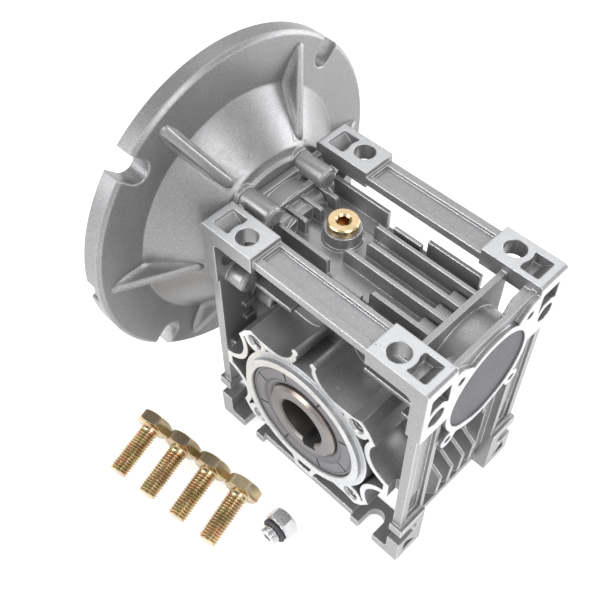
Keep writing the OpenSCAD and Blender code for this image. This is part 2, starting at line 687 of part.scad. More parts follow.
module filler_washer() color("darkgoldenrod") translate([plug_x, plug_y, plug_seat + 0.02]) difference() {
  cylinder(r = plug_collar / 2 - 0.2, h = 1);
  translate([0, 0, -1]) cylinder(r = plug_thread / 2 + 0.1, h = 3);
}

module rear_end_cap() color("dimgray") turn_x() {
  face = half_l - 0.9;
  polygon([[0, face - 1.4], [cap_d / 2 - 2, face - 1.4], [cap_d / 2 - 2, face - cap_t + 0.03],
    [cap_d / 2, face - cap_t + 0.03], [cap_d / 2, face - 0.3], [cap_d / 2 - 0.3, face], [0, face]]);
}

// Open ring with two eyes for pliers; eye is the sign of the side the eyes lie on
module circlip(r_in, r_out, t, eye) difference() {
  union() {
    linear_extrude(t) difference() {
      circle(r_out);
      circle(r_in);
    }
    for (m = [0, 1]) mirror([0, m, 0]) translate([eye > 0 ? r_out - 0.4 : r_in + 0.4, 3, 0])
      translate([eye * 1.2, 0, 0]) cylinder(r = 2, h = t);
  }
  translate([0, -1.6, -1]) cube([60, 3.2, t + 2]);
  for (m = [0, 1]) mirror([0, m, 0]) translate([(eye > 0 ? r_out - 0.4 : r_in + 0.4) + eye * 1.2, 3.1, -1])
    cylinder(r = 0.9, h = t + 2);
}

module rear_circlip() color("slategray") translate([rear_bearing_x + REAR_BRG[2] + 0.06, 0, centre_distance])
  rotate([0, 90, 0]) circlip(REAR_BRG[1] / 2 - 2.2, REAR_BRG[1] / 2 + 1.2, circlip_t, -1);

module worm_circlip() color("slategray") translate([rear_bearing_x + REAR_BRG[2] + 0.1, 0, centre_distance])
  rotate([0, 90, 0]) circlip(rear_d / 2 - 0.95, rear_d / 2 + 1.4, 1.1, 1);

// Seals

// Lip seal about +Y with its front face at y = 0, its body behind it
module lip_seal(r_out, r_shaft, w) rotate([-90, 0, 0]) difference() {
  rotate_extrude($fn = 96) polygon([[r_shaft + 1.6, 0.8], [r_shaft + 2.6, 0.8], [r_shaft + 3.4, 0],
    [r_out - 0.4, 0], [r_out, 0.6], [r_out, w], [r_out - 1.2, w], [r_out - 1.2, 1.8], [r_shaft + 3.4, 1.8], [r_shaft + 2.6, w - 1.2],
    [r_shaft + 1.2, w - 0.6], [r_shaft, w - 2.2], [r_shaft + 0.9, w - 3.6], [r_shaft + 1.6, 3], [r_shaft + 0.05, 1.6]]);
  for (a = [22:45:359]) rotate([0, 0, a]) translate([r_shaft + 4, -0.35, -1]) cube([r_out - r_shaft - 5.2, 0.7, 1.4]);
}

seal_depth = seal_w - 0.6;
seal_face = bearing_y + OUTPUT_BRG[2] + 1.2 + seal_depth;

module output_seal_front() color("dimgray") translate([0, -seal_face, 0])
  lip_seal(seal_bore_d / 2, hub_d / 2 + run_clearance, seal_depth);

module output_seal_rear() color("dimgray") mirror([0, 1, 0]) translate([0, -seal_face, 0])
  lip_seal(seal_bore_d / 2, hub_d / 2 + run_clearance, seal_depth);

module input_seal() color("dimgray") translate([-half_l - base_t + 0.1, 0, centre_distance]) rotate([0, 0, -90])
  lip_seal(INPUT_BRG[1] / 2, input_d / 2 + run_clearance, input_seal_w);

// Bearings, each about +Z with its inner face at z = 0

function pitch_r(b) = (b[0] + b[1]) / 4;

module groove(b) translate([pitch_r(b), b[2] / 2]) circle(b[3] / 2 * 1.04, $fn = 48);

module outer_race(b) rotate_extrude($fn = 96) difference() {
  translate([pitch_r(b) + 0.3 * b[3], 0]) square([b[1] / 2 - pitch_r(b) - 0.3 * b[3], b[2]]);
  groove(b);
}

module inner_race(b) rotate_extrude($fn = 96) difference() {
  translate([b[0] / 2 + seat_clearance, 0]) square([pitch_r(b) - 0.3 * b[3] - b[0] / 2 - seat_clearance, b[2]]);
  groove(b);
}

// Balls with the cage that spaces them
module ball_set(b) {
  for (k = [1:b[4]]) rotate(k * 360 / b[4]) translate([pitch_r(b), 0, b[2] / 2]) sphere(b[3] / 2 - 0.02, $fn = 16);
  difference() {
    translate([0, 0, b[2] / 2 - b[3] * 0.62]) rotate_extrude($fn = 64)
      translate([pitch_r(b) - b[3] * 0.09, 0]) square([b[3] * 0.18, b[3] * 1.24]);
    for (k = [1:b[4]]) rotate(k * 360 / b[4]) translate([pitch_r(b) - 2, 0, b[2] / 2]) rotate([0, 90, 0])
      cylinder(r = b[3] / 2 + 0.12, h = 4, $fn = 16);
  }
}

module at_front() translate([0, -bearing_y, 0]) rotate([90, 0, 0]) children();

module at_rear() translate([0, bearing_y, 0]) rotate([-90, 0, 0]) children();

module at_input() translate([-input_bearing_x, 0, centre_distance]) rotate([0, -90, 0]) children();

module at_end() translate([rear_bearing_x, 0, centre_distance]) rotate([0, 90, 0]) children();

module output_race_front() color("lightsteelblue") at_front() outer_race(OUTPUT_BRG);
module output_race_rear() color("lightsteelblue") at_rear() outer_race(OUTPUT_BRG);
module input_race() color("lightsteelblue") at_input() outer_race(INPUT_BRG);
module rear_race() color("lightsteelblue") at_end() outer_race(REAR_BRG);
module output_inner_front() color("lightsteelblue") at_front() inner_race(OUTPUT_BRG);
module output_inner_rear() color("lightsteelblue") at_rear() inner_race(OUTPUT_BRG);
module input_inner() color("lightsteelblue") at_input() inner_race(INPUT_BRG);
module rear_inner() color("lightsteelblue") at_end() inner_race(REAR_BRG);
module output_balls_front() color("lightgray") at_front() ball_set(OUTPUT_BRG);
module output_balls_rear() color("lightgray") at_rear() ball_set(OUTPUT_BRG);
module input_balls() color("lightgray") at_input() ball_set(INPUT_BRG);
module rear_balls() color("lightgray") at_end() ball_set(REAR_BRG);

// Output shaft and wheel

rim_bore = 31.08;

module output_hub() color("slategray") difference() {
  turn_y() polygon([[0, -hub_end], [hub_d / 2 - 1.5, -hub_end], [hub_d / 2, -hub_end + 1.5], [hub_d / 2, -bearing_y],
    [shoulder_d / 2, -bearing_y], [shoulder_d / 2, -rim_width / 2 - 2], [rim_bore - 4, -rim_width / 2 + 1],
    [rim_bore * cos(180 / wheel_teeth) - seat_clearance, -rim_width / 2 + 1],
    [rim_bore * cos(180 / wheel_teeth) - seat_clearance, rim_width / 2 - 1], [rim_bore - 4, rim_width / 2 - 1],
    [shoulder_d / 2, rim_width / 2 + 2], [shoulder_d / 2, bearing_y], [hub_d / 2, bearing_y],
    [hub_d / 2, hub_end - 1.5], [hub_d / 2 - 1.5, hub_end], [0, hub_end]]);
  cyl_y(output_bore / 2, -hub_end - 1, hub_end + 1);
  for (m = [0, 1]) mirror([0, m, 0]) translate([0, -hub_end - 0.01, 0]) rotate([-90, 0, 0])
    cylinder(r1 = output_bore / 2 + 1.2, r2 = output_bore / 2, h = 1.2);
  rotate([0, -key_angle, 0]) block(0, key_across - output_bore / 2, -hub_end - 1, hub_end + 1, -key_w / 2, key_w / 2);
}

// The worm's axial profile is a trapezoid rack with flanks at 20 degrees
pitch_x = PI * gear_module;
worm_r = centre_distance - wheel_teeth * gear_module / 2;
thread_tip = worm_r + gear_module;
thread_root = worm_r - gear_module - tip_clearance + 0.05;
wheel_r = wheel_teeth * gear_module / 2;
tan_a = tan(20);

// Half thickness of the rack that cuts the wheel, at radius r of the worm
function rack_half(r) = pitch_x / 4 + (worm_r - r) * tan_a;

// Place along the worm of a flank point in the plane y, at depth d below the worm axis
function rack_x(y, d, side) = side * rack_half(sqrt(y * y + d * d)) + gear_module / 2 * atan2(y, d) * PI / 180;

// How fast that place moves with depth
function rack_slope(y, d, side) = (rack_x(y, d + 0.01, side) - rack_x(y, d - 0.01, side)) / 0.02;

// Where the cutting rack stands when it touches the tooth at that point
function rack_shift(y, d, side) = -rack_x(y, d, side) - (d - worm_r) / rack_slope(y, d, side);

// The wheel's flank point as an angle and a radius about the output axis
function flank_point(y, d, side) = let (u = rack_shift(y, d, side), x = rack_x(y, d, side) + u,
  h = centre_distance - d) [atan2(x, h) - u / wheel_r * 180 / PI, sqrt(x * x + h * h)];

// Radius of the wheel's tips, and depth below the worm axis of the spaces between its teeth
wheel_tip_r = wheel_r + gear_module * 1.6;
function tip_radius(y) = min(wheel_tip_r, centre_distance - sqrt(max(0, pow(worm_r - gear_module, 2) - y * y)));
function space_depth(y) = sqrt(pow(thread_tip + tip_clearance, 2) - y * y);

// Depth at which a flank reaches radius r, found by halving the span from a to b
function depth_at(y, side, r, a, b, n = 14) = let (m = (a + b) / 2) n == 0 ? m :
  flank_point(y, m, side)[1] > r ? depth_at(y, side, r, m, b, n - 1) : depth_at(y, side, r, a, m, n - 1);

// One side of a tooth space in the plane y, from the tip down to the root
function flank_line(y, side) = let (d1 = space_depth(y), d0 = depth_at(y, side, tip_radius(y), worm_r / 2, d1),
  play = side * flank_clearance / wheel_r * 180 / PI)
  [for (k = [0:flank_steps + 1]) let (p = k > flank_steps ?
    [rack_x(y, d1, side) / wheel_r * 180 / PI, centre_distance - d1] :
    flank_point(y, d0 + (d1 - d0) * k / flank_steps, side)) [p[0] + play, p[1]]];

// One tooth space: angles and radii, from the tip of one tooth to the next
function space_profile(y) = let (a = flank_line(y, -1), b = flank_line(y, 1), n = len(b) - 1)
  concat(a, [for (k = [0:n]) b[n - k]]);

flank_steps = 3;
wheel_layers = [for (k = [0:6]) rim_width * (k / 6 - 0.5)];
space_points = 2 * (flank_steps + 2);

function wheel_ring(y) = let (space = space_profile(y)) [for (t = [0:wheel_teeth - 1], p = space)
  let (a = t * 360 / wheel_teeth + p[0]) [p[1] * sin(a), y, p[1] * cos(a)]];

module worm_wheel() color("peru") {
  n = wheel_teeth * space_points;
  layers = len(wheel_layers);
  m = wheel_teeth;
  rings = [for (y = wheel_layers) each wheel_ring(y)];
  bore_y = [wheel_layers[0], wheel_layers[layers - 1]];
  bore = [for (y = bore_y, t = [0:m - 1]) let (a = (t + 0.5) * 360 / m) [rim_bore * sin(a), y, rim_bore * cos(a)]];
  b0 = layers * n;
  b1 = b0 + m;
  flanks = [for (l = [0:layers - 2], i = [0:n - 1]) let (j = (i + 1) % n, a = l * n, b = a + n)
    each [[a + i, b + i, a + j], [a + j, b + i, b + j]]];
  sides = [for (t = [0:m - 1], e = [0, 1]) let (
      o = e == 0 ? 0 : (layers - 1) * n, b = e == 0 ? b0 : b1, tn = (t + 1) % m,
      fan = concat([for (i = [0:space_points - 2]) [o + t * space_points + i, o + t * space_points + i + 1, b + t]],
        [[o + t * space_points + space_points - 1, o + tn * space_points, b + t],
         [b + t, o + tn * space_points, b + tn]]))
    each (e == 0 ? fan : [for (f = fan) [f[1], f[0], f[2]]])];
  inner = [for (t = [0:m - 1]) let (tn = (t + 1) % m) each [[b0 + t, b0 + tn, b1 + t], [b0 + tn, b1 + tn, b1 + t]]];
  polyhedron(points = concat(rings, bore), faces = concat(flanks, sides, inner));
}

// Worm shaft

steps = 24;
turns = round(thread_length / pitch_x);
fade_turns = 0.6;
thread_end = (turns / 2) * pitch_x + 0.5;
thread_phase = 180 * (turns % 2);

// Height of the thread at n turns from its start, as a share of the full height
function thread_fade(n) = min(1, max(0, min(n, turns - 1 - 1 / steps - n) / fade_turns));

// Axial places of one turn of the thread: root, crest, crest, root
function thread_offset(k) = let (root = rack_half(thread_root) - flank_clearance / 4,
  crest = rack_half(thread_tip) - flank_clearance / 4) [-root, -crest, crest, root][k];

function ring_point(r, x, i) = let (a = i * 360 / steps + thread_phase) [x, -r * sin(a), r * cos(a)];

// Point of the thread in column j at angle step i
function thread_point(i, j) = let (n = floor(j / 4) + i / steps, k = j % 4,
  r = (k == 1 || k == 2) ? thread_root + (thread_tip - thread_root) * thread_fade(n) : thread_root)
  ring_point(r, (n + 0.5 - turns / 2) * pitch_x + thread_offset(k), i);

// One right-hand thread round its core, with flat ends
module worm_thread() {
  cols = 4 * (turns - 1);
  row = cols + 2;
  end = thread_end + 0.8;
  points = [for (i = [0:steps - 1]) each concat([ring_point(thread_root, -end, i)],
    [for (j = [0:cols - 1]) thread_point(i, j)], [ring_point(thread_root, end, i)])];
  plain = [for (i = [0:steps - 2], j = [0:row - 2]) let (a = i * row + j, b = a + row)
    each [[a, a + 1, b], [a + 1, b + 1, b]]];
  last = (steps - 1) * row;
  seam = [for (j = [1:row - 7]) let (a = last + j, b = j + 4) each [[a, a + 1, b], [a + 1, b + 1, b]]];
  start = concat([for (j = [0:4]) [last, j + 1, j]], [[last, last + 1, 5]]);
  finish = concat([for (j = [row - 6:row - 2]) [last + j, last + j + 1, row - 1]],
    [[last + row - 6, row - 1, row - 2]]);
  caps = [[for (i = [0:steps - 1]) i * row], [for (i = [steps - 1:-1:0]) i * row + row - 1]];
  polyhedron(points = points, faces = concat(plain, seam, start, finish, caps));
}

module worm_shaft() color("slategray") difference() {
  union() {
    at_worm() worm_thread();
    turn_x() polygon([[0, -input_end], [input_d / 2 - 1, -input_end], [input_d / 2, -input_end + 1],
      [input_d / 2, -input_bearing_x], [input_d / 2 + 2, -input_bearing_x],
      [input_d / 2 + 2, -input_bearing_x + 3], [thread_tip, -input_bearing_x + 3],
      [thread_tip, -thread_end - 1.5], [thread_tip - 1.5, -thread_end], [0, -thread_end]]);
    turn_x() polygon([[0, thread_end], [thread_tip - 1.5, thread_end], [thread_tip, thread_end + 1.5],
      [thread_tip, rear_bearing_x], [rear_d / 2, rear_bearing_x],
      [rear_d / 2, rear_bearing_x + REAR_BRG[2] + 0.05], [rear_d / 2 - 1, rear_bearing_x + REAR_BRG[2] + 0.05],
      [rear_d / 2 - 1, rear_bearing_x + REAR_BRG[2] + 1.3], [rear_d / 2, rear_bearing_x + REAR_BRG[2] + 1.3],
      [rear_d / 2, rear_bearing_x + REAR_BRG[2] + 2.2], [rear_d / 2 - 0.8, rear_bearing_x + REAR_BRG[2] + 3],
      [0, rear_bearing_x + REAR_BRG[2] + 3]]);
  }
  at_worm() cyl_x(input_bore / 2, -input_end - 1, -input_end + input_depth);
  at_worm() translate([-input_end - 0.01, 0, 0]) rotate([0, 90, 0])
    cylinder(r1 = input_bore / 2 + 0.8, r2 = input_bore / 2, h = 0.8);
  at_worm() block(-input_end - 1, -input_end + input_depth - 0.5, -input_key_w / 2, input_key_w / 2,
    0, input_key_across - input_bore / 2);
}

// Loose items that come in the box

bolt_d = 10;
bolt_length = 27.5;
bolt_flats = 17;
bolt_head = 6.4;
bolt_tilt = atan((bolt_flats - bolt_d) / 2 / bolt_length);
bolt_turn = -78.5;
bolt_x = -73.5;
bolt_y = -80.4;

// Hex bolt along +X from its head's bearing face, lying so that head and tip touch the floor
module hex_bolt() translate([0, 0, -foot_depth + bolt_flats / 2 * cos(bolt_tilt)]) rotate([0, bolt_tilt, 0]) {
  rotate([0, -90, 0]) rotate(30) intersection() {
    cylinder(r = bolt_flats / sqrt(3), h = bolt_head, $fn = 6);
    rotate_extrude() polygon([[0, -1], [bolt_flats / sqrt(3) + 1, -1], [bolt_flats / sqrt(3) + 1, bolt_head - 1.9],
      [bolt_flats / 2 - 0.3, bolt_head + 0.1], [0, bolt_head + 0.1]]);
  }
  rotate([0, 90, 0]) rotate_extrude() polygon([[0, -1], [bolt_d / 2, -1], [bolt_d / 2, 2.5],
    [bolt_d / 2 - 0.5, 3], [bolt_d / 2 - 0.5, bolt_length - 0.8], [bolt_d / 2 - 1.2, bolt_length], [0, bolt_length]]);
}

module motor_bolts() color("goldenrod") for (k = [0:3])
  translate([bolt_x + k * (bolt_flats + 2.6), bolt_y + k * 2.4, 0]) rotate(bolt_turn) hex_bolt();

breather_flats = 14;
breather_head = 8;
breather_thread = 6.3;
breather_x = 10.6;
breather_y = -72.9;

// Places the breather, along +X from its head's seat, on the floor
module at_breather() translate([breather_x, breather_y, -foot_depth + breather_flats / 2]) rotate([0, 0, -90]) children();

module breather_plug() color("silver") at_breather() {
  rotate([0, -90, 0]) rotate(30) intersection() {
    cylinder(r = breather_flats / sqrt(3), h = breather_head, $fn = 6);
    rotate_extrude() polygon([[0, -1], [7.5, -1], [7.5, breather_head - 1.4], [6.3, breather_head], [0, breather_head]]);
  }
  rotate([0, 90, 0]) rotate_extrude() polygon([[2.1, 0], [4.2, 0], [4.2, 2.4], [4.8, 3], [4.8, breather_thread - 0.6],
    [4.2, breather_thread], [2.1, breather_thread]]);
  rotate([0, 90, 0]) translate([0, 0, -0.5]) cylinder(r = 4.2, h = 0.7);
}

module breather_oring() color("dimgray") at_breather() rotate([0, 90, 0]) rotate_extrude()
  translate([5.45, 1.23]) circle(1.2, $fn = 32);

housing();
output_cover();
cover_oring();
cover_screws();
input_flange();
flange_gasket();
flange_screws();
filler_plug();
filler_washer();
rear_end_cap();
rear_circlip();
output_seal_front();
output_seal_rear();
input_seal();
output_race_front();
output_race_rear();
input_race();
rear_race();
output_hub();
worm_wheel();
output_inner_front();
output_inner_rear();
worm_shaft();
input_inner();
rear_inner();
worm_circlip();
output_balls_front();
output_balls_rear();
input_balls();
rear_balls();
motor_bolts();
breather_plug();
breather_oring();
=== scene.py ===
import json
import math
import bpy
import bmesh
from mathutils import Matrix, Vector


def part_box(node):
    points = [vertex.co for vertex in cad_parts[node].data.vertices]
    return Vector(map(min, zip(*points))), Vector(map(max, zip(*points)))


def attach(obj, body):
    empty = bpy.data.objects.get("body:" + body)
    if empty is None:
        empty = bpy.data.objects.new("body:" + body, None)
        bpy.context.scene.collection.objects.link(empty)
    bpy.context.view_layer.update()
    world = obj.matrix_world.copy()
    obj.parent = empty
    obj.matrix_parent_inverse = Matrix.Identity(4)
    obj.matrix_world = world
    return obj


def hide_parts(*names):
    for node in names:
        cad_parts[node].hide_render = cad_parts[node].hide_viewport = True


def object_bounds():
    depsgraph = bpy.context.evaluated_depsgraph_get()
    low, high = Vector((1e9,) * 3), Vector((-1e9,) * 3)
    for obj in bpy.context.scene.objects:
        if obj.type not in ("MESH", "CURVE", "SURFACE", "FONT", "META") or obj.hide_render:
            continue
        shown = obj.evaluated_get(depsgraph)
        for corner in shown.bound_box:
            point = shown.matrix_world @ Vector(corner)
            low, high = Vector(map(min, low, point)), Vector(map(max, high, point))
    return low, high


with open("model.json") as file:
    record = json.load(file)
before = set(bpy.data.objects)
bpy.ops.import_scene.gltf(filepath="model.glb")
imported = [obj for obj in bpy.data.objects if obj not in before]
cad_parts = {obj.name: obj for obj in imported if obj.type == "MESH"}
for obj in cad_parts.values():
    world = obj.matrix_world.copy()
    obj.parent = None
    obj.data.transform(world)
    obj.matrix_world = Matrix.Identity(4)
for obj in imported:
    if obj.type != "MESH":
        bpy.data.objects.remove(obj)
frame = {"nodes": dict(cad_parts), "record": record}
CAD_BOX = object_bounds()
NODES = frame["nodes"]
MM = 0.001
FEET_Z = CAD_BOX[0][2] / MM  # mm, the plane that everything stands on
WORM_Z = 50.0  # mm, the worm's axis
RIBS = 6

# Camera at the photograph's viewpoint

def make_camera():
    right = Vector((0.710518, 0.703669, -0.003793))
    down = Vector((0.549723, -0.558422, -0.621265))
    ahead = Vector((-0.439283, 0.439335, -0.783592))
    eye = Vector((144.62, -189.99, 346.20)) * MM
    rot = Matrix((right, -down, -ahead)).transposed()
    data = bpy.data.cameras.new("camera")
    data.sensor_width = 36.0  # mm
    data.lens = 53.331  # mm
    data.clip_start = 0.01
    data.clip_end = 20.0
    cam = bpy.data.objects.new("camera", data)
    cam.matrix_world = Matrix.Translation(eye) @ rot.to_4x4()
    bpy.context.scene.collection.objects.link(cam)
    bpy.context.scene.camera = cam


make_camera()

# Node helpers for the materials

def shade(tone, red, green, blue):
    return (red * tone, green * tone, blue * tone)


class Graph:
    """A Principled material and short names for the nodes that feed it."""

    def __init__(self, name):
        self.mat = bpy.data.materials.new(name)
        self.mat.use_nodes = True
        self.tree = self.mat.node_tree
        self.bsdf = self.tree.nodes["Principled BSDF"]
        self.coord = self.tree.nodes.new("ShaderNodeTexCoord").outputs["Object"]

    def new(self, kind, **values):
        node = self.tree.nodes.new(kind)
        for key, value in values.items():
            setattr(node, key, value)
        return node

    def put(self, value, socket):
        if isinstance(value, bpy.types.NodeSocket):
            self.tree.links.new(value, socket)
        else:
            socket.default_value = value

    def math(self, op, a, b=0.0):
        node = self.new("ShaderNodeMath", operation=op)
        self.put(a, node.inputs[0])
        self.put(b, node.inputs[1])
        return node.outputs[0]

    def ramp(self, value, low, high, out_low=0.0, out_high=1.0):
        node = self.new("ShaderNodeMapRange", clamp=True)
        for k, v in enumerate((value, low, high, out_low, out_high)):
            self.put(v, node.inputs[k])
        return node.outputs[0]

    def noise(self, scale, detail=3.0, rough=0.5, stretch=None):
        node = self.new("ShaderNodeTexNoise")
        node.inputs["Scale"].default_value = scale
        node.inputs["Detail"].default_value = detail
        node.inputs["Roughness"].default_value = rough
        if stretch:
            mapping = self.new("ShaderNodeMapping")
            mapping.inputs["Scale"].default_value = stretch
            self.put(self.coord, mapping.inputs["Vector"])
            self.put(mapping.outputs[0], node.inputs["Vector"])
        else:
            self.put(self.coord, node.inputs["Vector"])
        return node.outputs["Fac"]

    def mix(self, factor, a, b):
        node = self.new("ShaderNodeMix", data_type="RGBA")
        self.put(factor, node.inputs[0])
        self.put(self.rgba(a), node.inputs[6])
        self.put(self.rgba(b), node.inputs[7])
        return node.outputs[2]

    def bump(self, height, strength, distance, normal=None):
        node = self.new("ShaderNodeBump")
        node.inputs["Strength"].default_value = strength
        node.inputs["Distance"].default_value = distance
        self.put(height, node.inputs["Height"])
        if normal:
            self.put(normal, node.inputs["Normal"])
        return node.outputs[0]

    def soft_edges(self, radius):
        node = self.new("ShaderNodeBevel")
        node.samples = 4
        node.inputs["Radius"].default_value = radius
        return node.outputs[0]

    def split(self, vector):
        node = self.new("ShaderNodeSeparateXYZ")
        self.put(vector, node.inputs[0])
        return node.outputs

    def most(self, values):
        """The largest of several factors."""
        top = values[0]
        for value in values[1:]:
            top = self.math("MAXIMUM", top, value)
        return top

    def rgba(self, color):
        return color if isinstance(color, bpy.types.NodeSocket) else (*color, 1.0)

    def finish(self, color, metallic, rough, normal=None):
        self.put(self.rgba(color), self.bsdf.inputs["Base Color"])
        self.bsdf.inputs["Metallic"].default_value = metallic
        self.put(rough, self.bsdf.inputs["Roughness"])
        if normal:
            self.put(normal, self.bsdf.inputs["Normal"])
        return self.mat


# Materials, with places and radii in metres

def cast_alloy(name, tone, faces, edge=0.0007, edge_wear_and_highlight=0.85, glitter=1.35):
    """Bead-blasted casting whose edges are painted bright, partly as wear and partly as a painted highlight.

    Each of faces is a plane that is machined bright: axis, sign, distance from the origin, lowest z, tone.
    """
    g = Graph(name)
    grain = g.noise(1700.0, 2.0, 0.65)
    skin = g.noise(420.0, 4.0, 0.6)
    cloud = g.noise(28.0, 3.0, 0.55)
    geometry = g.new("ShaderNodeNewGeometry").outputs["Normal"]
    pos = g.split(g.coord)
    nor = g.split(geometry)
    cast = g.mix(g.ramp(cloud, 0.35, 0.7), shade(tone, 0.90, 0.90, 0.925), shade(tone, 1.0, 1.0, 1.02))
    cast = g.mix(g.ramp(grain, 0.50, 0.78), cast, shade(tone, glitter, glitter, glitter))
    cast = g.mix(g.ramp(skin, 0.38, 0.24), cast, shade(tone, 0.8, 0.8, 0.82))
    soft = g.soft_edges(edge)
    turn = g.new("ShaderNodeVectorMath", operation="DOT_PRODUCT")
    g.put(soft, turn.inputs[0])
    g.put(geometry, turn.inputs[1])
    flatness = turn.outputs["Value"]
    # Edges, convex and concave, are painted pale: partly wear, partly a painted highlight along them.
    worn_and_highlit_edges = g.math("MULTIPLY", g.ramp(flatness, 0.985, 0.88), edge_wear_and_highlight)
    color = g.mix(worn_and_highlit_edges, cast, (0.86, 0.86, 0.87))
    cuts = g.noise(260.0, 3.0, 0.6, (1.0, 8.0, 1.0))
    specks = g.ramp(g.noise(620.0, 2.0, 0.5), 0.70, 0.76)
    nicks = g.ramp(g.noise(480.0, 3.0, 0.6), 0.60, 0.66)
    flecks = g.math("MULTIPLY", nicks, g.ramp(flatness, 0.998, 0.97))
    machined = []
    for axis, sign, place, lowest, bright in faces:
        facing = g.ramp(g.math("MULTIPLY", nor[axis], float(sign)), 0.93, 0.99)
        level = g.ramp(g.math("MULTIPLY", pos[axis], float(sign)), place - 0.00025, place - 0.0001)
        here = g.math("MULTIPLY", g.math("MULTIPLY", facing, level), g.math("GREATER_THAN", pos[2], lowest))
        cut = g.mix(g.ramp(cuts, 0.3, 0.7), shade(bright, 0.86, 0.875, 0.89), shade(bright, 0.97, 0.985, 1.0))
        color = g.mix(here, color, g.mix(specks, cut, shade(bright, 0.35, 0.34, 0.33)))
        machined.append(here)
    mask = g.most(machined)
    color = g.mix(g.math("MULTIPLY", flecks, mask), color, (0.20, 0.19, 0.18))
    rough = g.math("ADD", g.ramp(skin, 0.3, 0.7, 0.31, 0.41), g.math("MULTIPLY", mask, -0.04))
    grit = g.math("ADD", g.math("MULTIPLY", grain, 0.7), skin)
    grit = g.math("MULTIPLY", grit, g.math("SUBTRACT", 1.0, mask))
    return g.finish(color, 0.68, rough, g.bump(grit, 0.3, 0.0001, soft))


def metal(name, dark, light, rough, scale=500.0, bump=0.15, stretch=None, edge=0.0):
    """Bare metal between two tones, with fine marks that may be stretched along an axis."""
    g = Graph(name)
    fine = g.noise(scale, 4.0, 0.6, stretch)
    broad = g.noise(60.0, 3.0, 0.5)
    color = g.mix(g.ramp(broad, 0.3, 0.7), dark, light)
    normal = g.bump(fine, bump, 0.00008, g.soft_edges(edge) if edge else None)
    return g.finish(color, 1.0, g.ramp(fine, 0.3, 0.7, rough - 0.06, rough + 0.08), normal)


def rubber(name, dark, light, rough=0.55):
    """Moulded rubber with a fine grain."""
    g = Graph(name)
    fine = g.noise(1500.0, 3.0, 0.6)
    broad = g.noise(80.0, 3.0, 0.5)
    color = g.mix(g.ramp(broad, 0.3, 0.75), dark, light)
    normal = g.bump(fine, 0.25, 0.00006)
    return g.finish(color, 0.0, g.ramp(fine, 0.3, 0.7, rough - 0.05, rough + 0.1), normal)


def radius_about(g, x=None, y=None, z=None):
    """Distance from an axis, whose place is the two coordinates given, and the position itself."""
    pos = g.split(g.coord)
    parts = []
    for axis, place in enumerate((x, y, z)):
        if place is not None:
            off = g.math("SUBTRACT", pos[axis], place)
            parts.append(g.math("MULTIPLY", off, off))
    return g.math("SQRT", g.math("ADD", parts[0], parts[1])), pos


def yellow_zinc(name):
    """Yellow zinc with pink and green patches, a painted dark reflection on its upward flats, painted shade
    in the thread roots and painted highlights on their crests.
    """
    g = Graph(name)
    broad = g.noise(120.0, 3.0, 0.55)
    tint = g.noise(190.0, 2.0, 0.5, (1.0, 1.3, 0.8))
    fine = g.noise(900.0, 2.0, 0.5)
    base = g.mix(g.ramp(broad, 0.35, 0.65), (0.42, 0.33, 0.185), (0.68, 0.55, 0.34))
    pink = g.mix(g.ramp(tint, 0.52, 0.68, 0.0, 0.6), base, (0.70, 0.40, 0.26))
    green = g.mix(g.ramp(tint, 0.42, 0.30, 0.0, 0.6), pink, (0.54, 0.56, 0.25))
    geometry = g.new("ShaderNodeNewGeometry").outputs
    upward = g.split(geometry["Normal"])[2]
    # Painted dark reflection on the flats that face up.
    dark_top_reflection = g.mix(g.ramp(upward, 0.965, 0.985, 0.0, 0.8), green, (0.09, 0.058, 0.03))
    sharpness = geometry["Pointiness"]
    # Painted shade in the thread roots, where pointiness is low, and a painted highlight on the crests, where
    # it is high.
    shaded_thread_roots = g.mix(g.ramp(sharpness, 0.49, 0.40, 0.0, 0.75), dark_top_reflection, (0.13, 0.075, 0.035))
    lit_thread_crests = g.mix(g.ramp(sharpness, 0.56, 0.66, 0.0, 0.8), shaded_thread_roots, (0.80, 0.74, 0.58))
    normal = g.bump(fine, 0.02, 0.00005, g.soft_edges(0.0002))
    return g.finish(lit_thread_crests, 1.0, g.ramp(fine, 0.3, 0.7, 0.17, 0.23), normal)


def plug_brass(name):
    """Plated plug: smooth pale gold, with painted shade down in its socket."""
    g = Graph(name)
    low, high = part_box("filler_plug")
    radius, pos = radius_about(g, x=(low[0] + high[0]) / 2, y=(low[1] + high[1]) / 2)
    broad = g.noise(160.0, 3.0, 0.5)
    fine = g.noise(700.0, 2.0, 0.5)
    color = g.mix(g.ramp(broad, 0.3, 0.7), (0.56, 0.42, 0.235), (0.68, 0.53, 0.32))
    depth = g.ramp(pos[2], high[2] - 0.0003, high[2] - 0.0012)
    # Painted shade: the colour darkens down inside the hex socket.
    inside = g.math("MULTIPLY", g.ramp(radius, 0.0036, 0.0031), depth)
    color = g.mix(inside, color, (0.30, 0.17, 0.07))
    return g.finish(color, 1.0, g.ramp(fine, 0.3, 0.7, 0.24, 0.32), g.bump(fine, 0.03, 0.00004))


